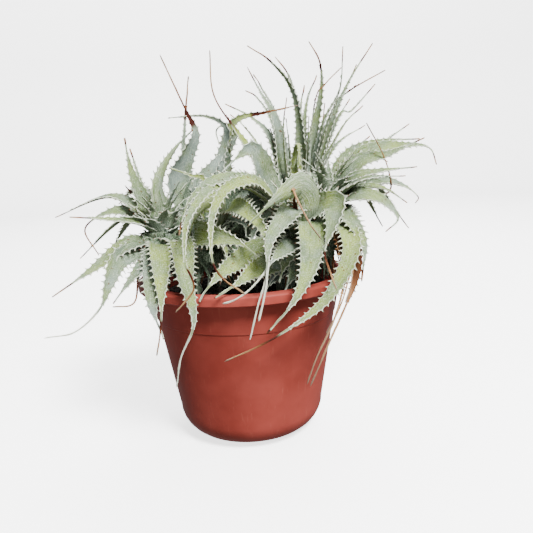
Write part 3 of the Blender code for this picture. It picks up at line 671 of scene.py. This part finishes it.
def floor_material():
    """A pale matt floor with a little light of its own."""
    nodes = Nodes("floor_pale")
    cloud = nodes.noise(nodes.place(), STAGE_CLOUD, detail=2)
    colour = nodes.mix(nodes.ramp(cloud, 0.3, 0.7), STAGE_DIM, STAGE_PALE)
    return nodes.finish(
        Base_Color=colour, Roughness=0.9, Specular_IOR_Level=0.1, Emission_Color=(1, 1, 1),
        Emission_Strength=STAGE_GLOW)


def wall_radius(height):
    """The pot's outer wall at a height above its foot."""
    return WALL_BASE_RADIUS + (WALL_TOP_RADIUS - WALL_BASE_RADIUS) * height / POT_HEIGHT


def arc(centre_radius, centre_height, radius, start, end):
    """Points of an arc in a turned profile, with its angles from the outward level."""
    points = []
    for step in range(ARC_STEPS + 1):
        angle = math.radians(start + (end - start) * step / ARC_STEPS)
        points.append((centre_radius + radius * math.cos(angle), centre_height + radius * math.sin(angle)))
    return points


def draw_up(name, rings, sides, closed=True):
    """A round piece, drawn up from a filled disc through (centre, radius) rings."""
    centre, radius = rings[0]
    bpy.ops.object.select_all(action="DESELECT")
    bpy.ops.mesh.primitive_circle_add(
        vertices=sides, radius=radius * MM, fill_type="NGON", location=centre * MM)
    piece = bpy.context.object
    bpy.ops.object.transform_apply(location=True, rotation=False, scale=False)
    bpy.ops.object.mode_set(mode="EDIT")
    bpy.ops.mesh.select_mode(type="EDGE")
    bpy.ops.mesh.select_all(action="DESELECT")
    mesh = bmesh.from_edit_mesh(piece.data)
    for edge in mesh.edges:
        edge.select_set(edge.is_boundary)
    bmesh.update_edit_mesh(piece.data)
    for next_centre, next_radius in rings[1:]:
        bpy.ops.mesh.extrude_region_move(
            TRANSFORM_OT_translate={"value": (next_centre - centre) * MM})
        share = next_radius / radius
        bpy.ops.transform.resize(value=(share, share, 1))
        centre, radius = next_centre, next_radius
    if closed:
        bpy.ops.mesh.edge_face_add()
    bpy.ops.mesh.select_all(action="SELECT")
    bpy.ops.mesh.normals_make_consistent(inside=False)
    bpy.ops.object.mode_set(mode="OBJECT")
    return join(name, [piece])


def turned(name, profile, sides, closed=True):
    """A round piece on the pot's axis, through the (radius, height) points of its profile."""
    rings = [(UP * height, radius) for radius, height in profile]
    return draw_up(name, rings, sides, closed)


def cut(piece, cutters):
    """Cuts a piece with a list of solids, which are then removed."""
    cutter = join("cutter", cutters)
    apply_modifier(piece, "BOOLEAN", object=cutter, operation="DIFFERENCE", solver="EXACT", use_self=True)
    bpy.data.objects.remove(cutter, do_unlink=True)


def drain_and_notch(angle):
    """The solids that cut a drain hole and the water notch beside it."""
    out = level(angle)
    bpy.ops.object.select_all(action="DESELECT")
    bpy.ops.mesh.primitive_cylinder_add(
        vertices=DRAIN_SIDES, radius=DRAIN_RADIUS * MM, depth=4 * FLOOR_TOP * MM,
        location=out * DRAIN_CIRCLE * MM)
    drain = bpy.context.object
    inner = FOOT_RING_INNER - NOTCH_OVERRUN
    outer = WALL_BASE_RADIUS + NOTCH_OVERRUN
    bpy.ops.object.select_all(action="DESELECT")
    bpy.ops.mesh.primitive_cube_add(
        size=MM, location=out * (inner + outer) / 2 * MM, rotation=(0, 0, angle),
        scale=(outer - inner, NOTCH_WIDTH, 2 * NOTCH_HEIGHT))
    return [drain, bpy.context.object]


def make_pot():
    """One turned shell, with drain holes cut through its floor and water notches across its foot ring."""
    under_lip = POT_HEIGHT - LIP_HEIGHT
    crease = under_lip - CREASE_BELOW_LIP
    corner_centre = wall_radius(CORNER_ROUND) - CORNER_ROUND
    inner_round = CORNER_ROUND - WALL
    mouth = wall_radius(POT_HEIGHT) - WALL
    profile = [
        (FOOT_DISC_RADIUS, 0),
        (FOOT_DISC_RADIUS + RECESS_SLOPE, FOOT_RECESS),
        (FOOT_RING_INNER - RECESS_SLOPE, FOOT_RECESS),
        (FOOT_RING_INNER, 0),
    ]
    profile += arc(corner_centre, CORNER_ROUND, CORNER_ROUND, -90, 0)
    profile += [
        (wall_radius(crease) - CREASE_STEP / 2, crease),
        (wall_radius(crease) + CREASE_STEP / 2, crease + CREASE_STEP),
        (wall_radius(under_lip), under_lip),
        (RIM_RADIUS - LIP_ROUND / 2, under_lip),
        (RIM_RADIUS, under_lip + LIP_ROUND / 2),
    ]
    profile += arc(RIM_RADIUS - LIP_ROUND, POT_HEIGHT - LIP_ROUND, LIP_ROUND, 0, 90)
    profile += [
        (mouth + MOUTH_BEVEL, POT_HEIGHT),
        (mouth, POT_HEIGHT - MOUTH_BEVEL),
        (wall_radius(CORNER_ROUND) - WALL, CORNER_ROUND + FLOOR_TOP - WALL),
    ]
    profile += arc(corner_centre, inner_round + FLOOR_TOP, inner_round, INNER_CORNER_START, -90)
    pot = turned("pot_shell", profile, POT_SIDES)
    cutters = []
    for index in range(DRAIN_COUNT):
        cutters += drain_and_notch(math.tau * (index + 0.5) / DRAIN_COUNT)
    cut(pot, cutters)
    select_only(pot)
    bpy.ops.object.shade_smooth_by_angle(angle=math.radians(POT_SMOOTH_ANGLE))
    paint(pot, pot_material())
    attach(pot, "root")
    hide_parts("pot")


def soil_height(share):
    """The soil's domed surface, at a share of its radius."""
    return SOIL_LEVEL + SOIL_DOME * (1 - share ** 2)


def make_crumbs(edge, draw):
    """Crumbs strewn over the soil: one lumpy grain, copied."""
    bpy.ops.object.select_all(action="DESELECT")
    bpy.ops.mesh.primitive_ico_sphere_add(subdivisions=1, radius=MM)
    crumb = bpy.context.object
    for vertex in crumb.data.vertices:
        vertex.co *= draw.uniform(*CRUMB_LUMPS)
    crumbs = []
    for index in range(CRUMB_COUNT):
        radius = edge * CRUMB_REACH * math.sqrt(draw.random())
        out = level(draw.uniform(0, math.tau))
        size = draw.uniform(*CRUMB_SIZE)
        copy = own_copy(crumb)
        copy.location = (out * radius + UP * soil_height(radius / edge)) * MM
        copy.rotation_euler = [draw.uniform(0, math.tau) for axis in range(3)]
        copy.scale = [size * stretch for stretch in CRUMB_STRETCH]
        crumbs.append(copy)
    bpy.data.objects.remove(crumb, do_unlink=True)
    return crumbs


def make_soil():
    """The domed bed, lumpy on top, with its crumbs."""
    edge = wall_radius(SOIL_LEVEL) - WALL - SOIL_GAP
    corner = wall_radius(CORNER_ROUND) - WALL - SOIL_GAP - SOIL_CORNER_GAP
    profile = [
        (wall_radius(CORNER_ROUND) - CORNER_ROUND, FLOOR_TOP + SOIL_GAP),
        (corner, CORNER_ROUND + FLOOR_TOP),
        (edge, SOIL_LEVEL),
    ]
    for ring in range(SOIL_RINGS, 0, -1):
        share = ring / (SOIL_RINGS + 1)
        profile.append((edge * share, soil_height(share)))
    soil = turned("soil_bed", profile, SOIL_SIDES)
    for vertex in soil.data.vertices:
        place = vertex.co / MM
        if place.z > SOIL_LEVEL and place.xy.length < edge - SOIL_FLAT_EDGE:
            lumps = noise.noise(place * CLODS_PER_MM) + GRIT_SHARE * noise.noise(place * GRIT_PER_MM)
            vertex.co.z += lumps * SOIL_RELIEF * MM
    select_only(soil)
    bpy.ops.object.shade_smooth()
    soil = join("soil_bed", [soil, *make_crumbs(edge, random.Random(SEED))])
    paint(soil, soil_material())
    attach(soil, "root")
    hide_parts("soil")


def smooth_curve(places):
    """Points of a smooth curve through the given places, after the first, which only aims it."""
    points = [*places, places[-1] * 2 - places[-2]]
    curve = []
    for before, start, end, after in zip(points, points[1:], points[2:], points[3:]):
        for step in range(CURVE_SAMPLES):
            t = step / CURVE_SAMPLES
            curve.append(0.5 * (
                2 * start
                + (end - before) * t
                + (2 * before - 5 * start + 4 * end - after) * t ** 2
                + (3 * start - before - 3 * end + after) * t ** 3
            ))
    curve.append(points[-2])
    return curve


def measured(curve):
    """The distance of each point of a curve from its start."""
    lengths = [0.0]
    for start, end in zip(curve, curve[1:]):
        lengths.append(lengths[-1] + (end - start).length)
    return lengths


def along(curve, lengths, distance):
    """The point and the direction of a curve at a distance from its start."""
    index = 1
    while index < len(curve) - 1 and lengths[index] < distance:
        index += 1
    span = lengths[index] - lengths[index - 1]
    share = (distance - lengths[index - 1]) / span
    point = curve[index - 1].lerp(curve[index], share)
    before = curve[index] - curve[index - 1]
    beyond = curve[min(index + 1, len(curve) - 1)] - curve[min(index, len(curve) - 2)]
    return point, before.lerp(beyond, max(0, min(1, share))).normalized()


def leaf_root(crown, first_place):
    """The place in the crown that a leaf grows from, low for a level leaf and high for a steep one.

    A point before it comes first, and only aims the leaf.
    """
    aim = first_place - crown
    out = Vector((aim.x, aim.y, 0)).normalized()
    steepness = min(1, max(0, (aim.normalized().z - FLATTEST) / (STEEPEST - FLATTEST)))
    lift = LOWEST_ROOT + (HIGHEST_ROOT - LOWEST_ROOT) * steepness
    root = crown + UP * lift + out * ROOT_OFFSET
    before = root - (out * ROOT_SPREAD + UP * (ROOT_CLIMB + steepness)) * aim.length / 2
    return before, root


def taper_power(crown, places):
    """An upright leaf narrows all the way along, and one whose tip hangs keeps its width for longer."""
    top = max(place.z for place in (crown, *places))
    return HANGING_TAPER if top - places[-1].z > HANGING_DROP else UPRIGHT_TAPER


def blade_width(width, share, thread_start, power):
    """A leaf's width at a share of its length: narrow in the crown, then tapered to a thread."""
    if share < BASE_LENGTH:
        return width * (BASE_WIDTH + (1 - BASE_WIDTH) * share / BASE_LENGTH)
    if share > thread_start:
        return THREAD_WIDTH + (THREAD_END - THREAD_WIDTH) * (share - thread_start) / (1 - thread_start)
    taper = 1 - ((share - BASE_LENGTH) / (thread_start - BASE_LENGTH)) ** power
    return max(THREAD_WIDTH, width * taper)


# The straight blanks made so far, by their number of teeth
BLANKS = {}


def blade_blank(teeth):
    """A flat straight blade with teeth on both edges, and a bare end for its thread."""
    if teeth in BLANKS:
        return BLANKS[teeth]
    units = teeth + THREAD_UNITS
    bpy.ops.object.select_all(action="DESELECT")
    bpy.ops.mesh.primitive_grid_add(
        x_subdivisions=COLUMNS, y_subdivisions=units * ROWS, size=2, location=(0, units / 2, 0))
    blank = bpy.context.object
    blank.scale = (1, units / 2, 1)
    bpy.ops.object.transform_apply(location=True, rotation=False, scale=True)
    bpy.ops.object.mode_set(mode="EDIT")
    bpy.ops.mesh.select_mode(type="EDGE")
    for side in (-1, 1):
        bpy.ops.mesh.select_all(action="DESELECT")
        mesh = bmesh.from_edit_mesh(blank.data)
        for edge in mesh.edges:
            middle = (edge.verts[0].co + edge.verts[1].co) / 2
            if edge.is_boundary and middle.x * side > 1 - BLANK_SLACK and middle.y < teeth:
                edge.select_set(TOOTH_FROM < middle.y % 1 < TOOTH_TO)
        bmesh.update_edit_mesh(blank.data)
        bpy.ops.mesh.extrude_region_move(TRANSFORM_OT_translate={"value": (side, 0, 0)})
        bpy.ops.mesh.merge(type="COLLAPSE")
    bpy.ops.mesh.select_all(action="DESELECT")
    mesh = bmesh.from_edit_mesh(blank.data)
    for vertex in mesh.verts:
        vertex.select_set(vertex.co.y > units - BLANK_SLACK)
    mesh.select_flush(True)
    bmesh.update_edit_mesh(blank.data)
    bpy.ops.mesh.merge(type="CENTER")
    bpy.ops.object.mode_set(mode="OBJECT")
    BLANKS[teeth] = blank
    return blank


def blade_frames(curve, heading, turn, teeth, thread_start, width_at):
    """Each row of a blade: its centre, its direction, the ways across it and out of its face, its share
    of the leaf's length, and its width."""
    lengths = measured(curve)
    side = Vector((heading.y, -heading.x, 0)).normalized()
    frames = []
    for row in range((teeth + THREAD_UNITS) * ROWS + 1):
        unit = row / ROWS
        if unit <= teeth:
            share = thread_start * unit / teeth
        else:
            share = thread_start + (1 - thread_start) * (unit - teeth) / THREAD_UNITS
        centre, tangent = along(curve, lengths, share * lengths[-1])
        side = (side - tangent * side.dot(tangent)).normalized()
        normal = side.cross(tangent)
        if not frames:
            lean = 1 if tangent.cross(normal).dot(FRONT) > 0 else -1
        angle = math.radians(turn) * lean * min(1, share / TURNED_BY)
        face = normal * math.cos(angle) + tangent.cross(normal) * math.sin(angle)
        frames.append((centre, tangent, tangent.cross(face), face, share, width_at(share)))
    return frames


def make_blade(crown, leaf, draw):
    """One blade: the straight blank bent along its midline, channelled, turned and scalloped."""
    width, turn, tone, drying, *places = leaf
    places = [Vector(place) for place in places]
    bleached = tone >= BLEACHED
    tone -= BLEACHED if bleached else 0
    curve = smooth_curve([*leaf_root(crown, places[0]), *places])
    length = measured(curve)[-1]
    power = taper_power(crown, places)
    bare = DRY_BLADE if power == UPRIGHT_TAPER else 0
    thread_start = max(SHORTEST_BLADE, min(drying + bare, LATEST_THREAD))
    teeth = max(LEAST_TEETH, round(length * thread_start / TOOTH_PITCH))
    frames = blade_frames(
        curve, places[0] - crown, turn, teeth, thread_start,
        lambda share: blade_width(width, share, thread_start, power))
    ripple_phase = draw.uniform(*RIPPLE_PHASES)
    blade = own_copy(blade_blank(teeth))
    thickness = blade.vertex_groups.new(name="thickness")
    flat_places = [vertex.co.copy() for vertex in blade.data.vertices]
    growth = []
    for index, (x, y, _) in enumerate(flat_places):
        row = min(len(frames) - 2, int(y * ROWS))
        centre, tangent, across, face, share, wide = (
            low + (high - low) * (y * ROWS - row) for low, high in zip(frames[row], frames[row + 1]))
        out = 1 if x > 0 else -1
        tip = abs(x) > TIPS_BEYOND
        if tip:
            # A tooth's tip, hooked towards the leaf's end
            reach = TOOTH_LENGTH * min(1, LEAST_TOOTH + wide / width) * draw.uniform(*TOOTH_SPREAD)
            hook = (across * out + tangent * draw.uniform(*TOOTH_HOOK)).normalized()
            point = centre + across * out * wide / 2 + hook * reach + face * draw.uniform(*TOOTH_LIFT)
            deep = TOOTH_THICKNESS
        else:
            # A point of the blade, in its channel, rippled and scalloped towards the edge
            waviness = min(1, LEAST_WAVE + wide / WAVY_WIDTH)
            wave = (1 - math.cos(math.tau * (y - (TOOTH_FROM + TOOTH_TO) / 2))) / 2 if y < teeth else 0
            reach = x * wide / 2 - out * SCALLOP * wave * waviness * x ** 4
            sag = CHANNEL * wide * (1 - x ** 2)
            swell = noise.noise((share * length / RIPPLE_LENGTH, out * EDGES_APART, ripple_phase))
            rise = RIPPLE * waviness * x ** 2 * swell - sag + EDGE_THICKNESS / 2
            point = centre + across * reach + face * rise
            middle = max(EDGE_THICKNESS, MID_THICKNESS * wide)
            deep = EDGE_THICKNESS + (middle - EDGE_THICKNESS) * (1 - x ** 2)
        blade.data.vertices[index].co = point * MM
        thickness.add([index], min(1, deep / THICKEST), "REPLACE")
        dryness = max(0, min(1, (share - drying) / max(LEAST_DRYING, 1 - drying)))
        growth += [dryness, tone, tip, bleached]
    attribute = blade.data.color_attributes.new("growth", "FLOAT_COLOR", "POINT")
    attribute.data.foreach_set("color", growth)
    unit_length = length * thread_start / teeth
    uv = blade.data.uv_layers.active.data
    for loop in blade.data.loops:
        x, y, _ = flat_places[loop.vertex_index]
        uv[loop.index].uv = (0.5 + max(-1, min(1, x)) / 2, y * unit_length * UV_PER_MM)
    return blade


def fan_leaves(name, crown, draw):
    """The arching leaves of a rosette's far side, by a rule."""
    middle, spread, *counts = FANS[name]
    leaves = []
    tiers = ((FAN_RISE, FAN_TIP), (DROOP_RISE, DROOP_TIP_HEIGHT - crown.z))
    for count, (rise, tip_rise) in zip(counts, tiers):
        for index in range(count):
            turn = spread * ((index + 0.5) / count - 0.5) + draw.uniform(*FAN_SCATTER)
            out = level(math.radians(middle + turn))
            reach = FAN_REACH * draw.uniform(*FAN_REACH_SHARE)
            knee = crown + out * reach * FAN_KNEE + UP * rise * draw.uniform(*FAN_RISE_SHARE)
            tip = crown + out * reach + UP * (tip_rise + draw.uniform(*FAN_SCATTER))
            leaves.append((FAN_WIDTH, FAN_TURN, FAN_TONE, LATEST_THREAD, knee, tip))
    return leaves


def heart_leaves(crown, draw):
    """The young leaves of a rosette's heart, and the sheaths at their feet."""
    leaves = []
    for kind in HEART_LEAVES:
        for index in range(kind["count"]):
            out = level(math.tau * (index + draw.uniform(*kind["sector"])) / kind["count"])
            height = draw.uniform(*kind["height"])
            knee = crown + out * kind["knee_reach"] + UP * height * kind["knee_height"]
            tip = crown + out * kind["reach"] + UP * height
            leaves.append((kind["width"], 0, kind["tone"], ALWAYS_GREEN, knee, tip))
    return leaves


def low_leaves(crown, draw):
    """Old broad leaves that droop round the stem and fill the dark below a rosette, painted dark green as
    the shade there.
    """
    leaves = []
    for index in range(LOW_COUNT):
        out = level(math.tau * (index + draw.uniform(*LOW_SECTOR)) / LOW_COUNT)
        reach = draw.uniform(*LOW_REACH)
        knee = crown + out * reach * LOW_KNEE_SHARE - UP * draw.uniform(*LOW_KNEE_DROP)
        tip = crown + out * reach
        tip.z = SOIL_LEVEL + SOIL_DOME + draw.uniform(*LOW_TIP_HEIGHT)
        for place in (knee, tip):
            inward = min(1, WALL_CLEARANCE / place.xy.length)
            place.xy *= inward
        # Painted shade: each low leaf takes the shaded tone
        leaves.append((draw.uniform(*LOW_WIDTH), LOW_TURN, SHADED_TONE, LOW_DRYING, knee, tip))
    return leaves


def old_leaves(crown, foot, draw):
    """Dead leaves that hang round the stem, each with the place on the stem that it hangs from."""
    ground = Vector((*foot, SOIL_LEVEL + SOIL_DOME))
    leaves = []
    for index in range(OLD_COUNT):
        out = level(math.radians(OLD_STEP) * index)
        start = crown.lerp(ground, draw.uniform(*OLD_START_SHARE)) + UP * LOWEST_ROOT
        reach = draw.uniform(*OLD_REACH)
        height = max(OLD_CLEARANCE, start.z - SOIL_LEVEL - OLD_CLEARANCE)
        drop = height * draw.uniform(*OLD_DROP_SHARE)
        knee = start + out * reach * OLD_KNEE_SHARE + UP * draw.uniform(*OLD_KNEE_RISE)
        tip = start + out * reach * draw.uniform(*OLD_TIP_SHARE) - UP * drop
        width = draw.uniform(*OLD_WIDTH)
        leaves.append((start, (width, 0, OLD_TONE, draw.uniform(*OLD_DRYING), knee, tip)))
    return leaves


def dress_blades(name, node, blades):
    """Joins blades, gives them thickness and a scurfy face on each side, and sets them on the part."""
    piece = join(name, blades)
    paint(piece, LEAF_UPPER, LEAF_UNDER)
    apply_modifier(
        piece, "SOLIDIFY", thickness=THICKEST * MM, offset=-1, vertex_group="thickness",
        thickness_vertex_group=THINNEST, material_offset=1)
    select_only(piece)
    bpy.ops.object.shade_smooth_by_angle(angle=math.radians(LEAF_SMOOTH_ANGLE))
    piece.vertex_groups.clear()
    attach(piece, "root")
    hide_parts(node)


def make_stem(name, crown, foot):
    """A ringed stem from below the soil to the crown."""
    ground = Vector((*foot, SOIL_LEVEL + 2 * SOIL_DOME))
    lean = (crown - ground).normalized()
    steps = [(Vector((*foot, SOIL_LEVEL - STEM_DEPTH)), STEM_RADIUS), (ground, STEM_RADIUS)]
    steps += [(crown + lean * distance, radius) for distance, radius in BULB]
    rings = [steps[0]]
    for (start, radius), (end, next_radius) in zip(steps, steps[1:]):
        pieces = max(1, round((end - start).length / STEM_RING))
        for part in range(1, pieces + 1):
            share = part / pieces
            rings.append((start.lerp(end, share), radius * (next_radius / radius) ** share))
    return draw_up(name, rings, STEM_SIDES)


def make_rosette(name):
    """One rosette: its leaves, the dead leaves round its stem, and the stem."""
    crown, foot = CROWNS[name]
    crown = Vector(crown)
    draw = random.Random(SEED + len(name))
    fan_draw = random.Random(SEED + len("rosette_" + name))
    hidden = [*fan_leaves(name, crown, fan_draw), *heart_leaves(crown, fan_draw)]
    blades = [make_blade(crown, leaf, draw) for leaf in [*LEAVES[name], *hidden]]
    inner = [*INNER_LEAVES.get(name, []), *low_leaves(crown, draw)]
    blades += [make_blade(crown, leaf, draw) for leaf in inner]
    dress_blades("leaves_" + name, "rosette_" + name, blades)
    skirt = [make_blade(start, leaf, draw) for start, leaf in old_leaves(crown, foot, draw)]
    dress_blades("old_leaves_" + name, "rosette_" + name, skirt)
    stem = make_stem("stem_" + name, crown, foot)
    select_only(stem)
    bpy.ops.object.shade_smooth()
    paint(stem, LEAF_UNDER)
    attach(stem, "root")
    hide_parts("rosette_" + name)


def make_stage():
    """A pale floor that sweeps up into a round backdrop."""
    profile = [(STAGE_CENTRE, -STAGE_DROP), (STAGE_FLAT, -STAGE_DROP)]
    for step in range(1, STAGE_STEPS + 1):
        angle = math.radians(90 * step / STAGE_STEPS)
        height = STAGE_BEND * (1 - math.cos(angle)) - STAGE_DROP
        profile.append((STAGE_FLAT + STAGE_BEND * math.sin(angle), height))
    profile.append((STAGE_FLAT + STAGE_BEND, STAGE_TOP))
    floor = turned("floor", profile, STAGE_SIDES, closed=False)
    select_only(floor)
    bpy.ops.object.shade_smooth()
    paint(floor, floor_material())
    # The photograph has no floor near the plant, so none of its light is thrown back up here
    floor.visible_diffuse = False
    floor.visible_glossy = False


def make_light(name, place, aim, size, power):
    light = bpy.data.lights.new(name, "AREA")
    light.shape = "DISK"
    light.size = size * MM
    light.energy = power
    lamp = bpy.data.objects.new(name, light)
    lamp.location = Vector(place) * MM
    lamp.rotation_euler = (Vector(aim) - Vector(place)).to_track_quat("-Z", "Y").to_euler()
    bpy.context.scene.collection.objects.link(lamp)


def make_world():
    world = bpy.data.worlds.new("studio")
    world.use_nodes = True
    background = world.node_tree.nodes["Background"]
    background.inputs["Color"].default_value = (1, 1, 1, 1)
    background.inputs["Strength"].default_value = SKY_STRENGTH
    bpy.context.scene.world = world


def make_camera():
    """The camera looks a little down on the plant and is rolled, so the upright pot leans in the picture."""
    camera = bpy.data.objects.new("camera", bpy.data.cameras.new("camera"))
    camera.data.sensor_width = SENSOR
    camera.data.lens = LENS
    camera.data.clip_start = CAMERA_NEAR * MM
    camera.data.clip_end = CAMERA_FAR * MM
    pitch = math.radians(CAMERA_PITCH)
    back = Vector((0, -math.cos(pitch), math.sin(pitch)))
    place = (Vector(CAMERA_TARGET) + back * CAMERA_DISTANCE) * MM
    tilt = Matrix.Rotation(math.radians(90) - pitch, 4, "X")
    roll = Matrix.Rotation(-math.radians(CAMERA_ROLL), 4, "Z")
    camera.matrix_world = Matrix.Translation(place) @ tilt @ roll
    bpy.context.scene.collection.objects.link(camera)
    bpy.context.scene.camera = camera


LEAF_UPPER = leaf_material("leaf_upper", striped=False)
LEAF_UNDER = leaf_material("leaf_under", striped=True)

make_camera()
make_world()
for light_name, light_values in LIGHTS.items():
    make_light(light_name, *light_values)
make_stage()
make_pot()
make_soil()
for rosette in CROWNS:
    make_rosette(rosette)
for blank_blade in BLANKS.values():
    bpy.data.objects.remove(blank_blade, do_unlink=True)
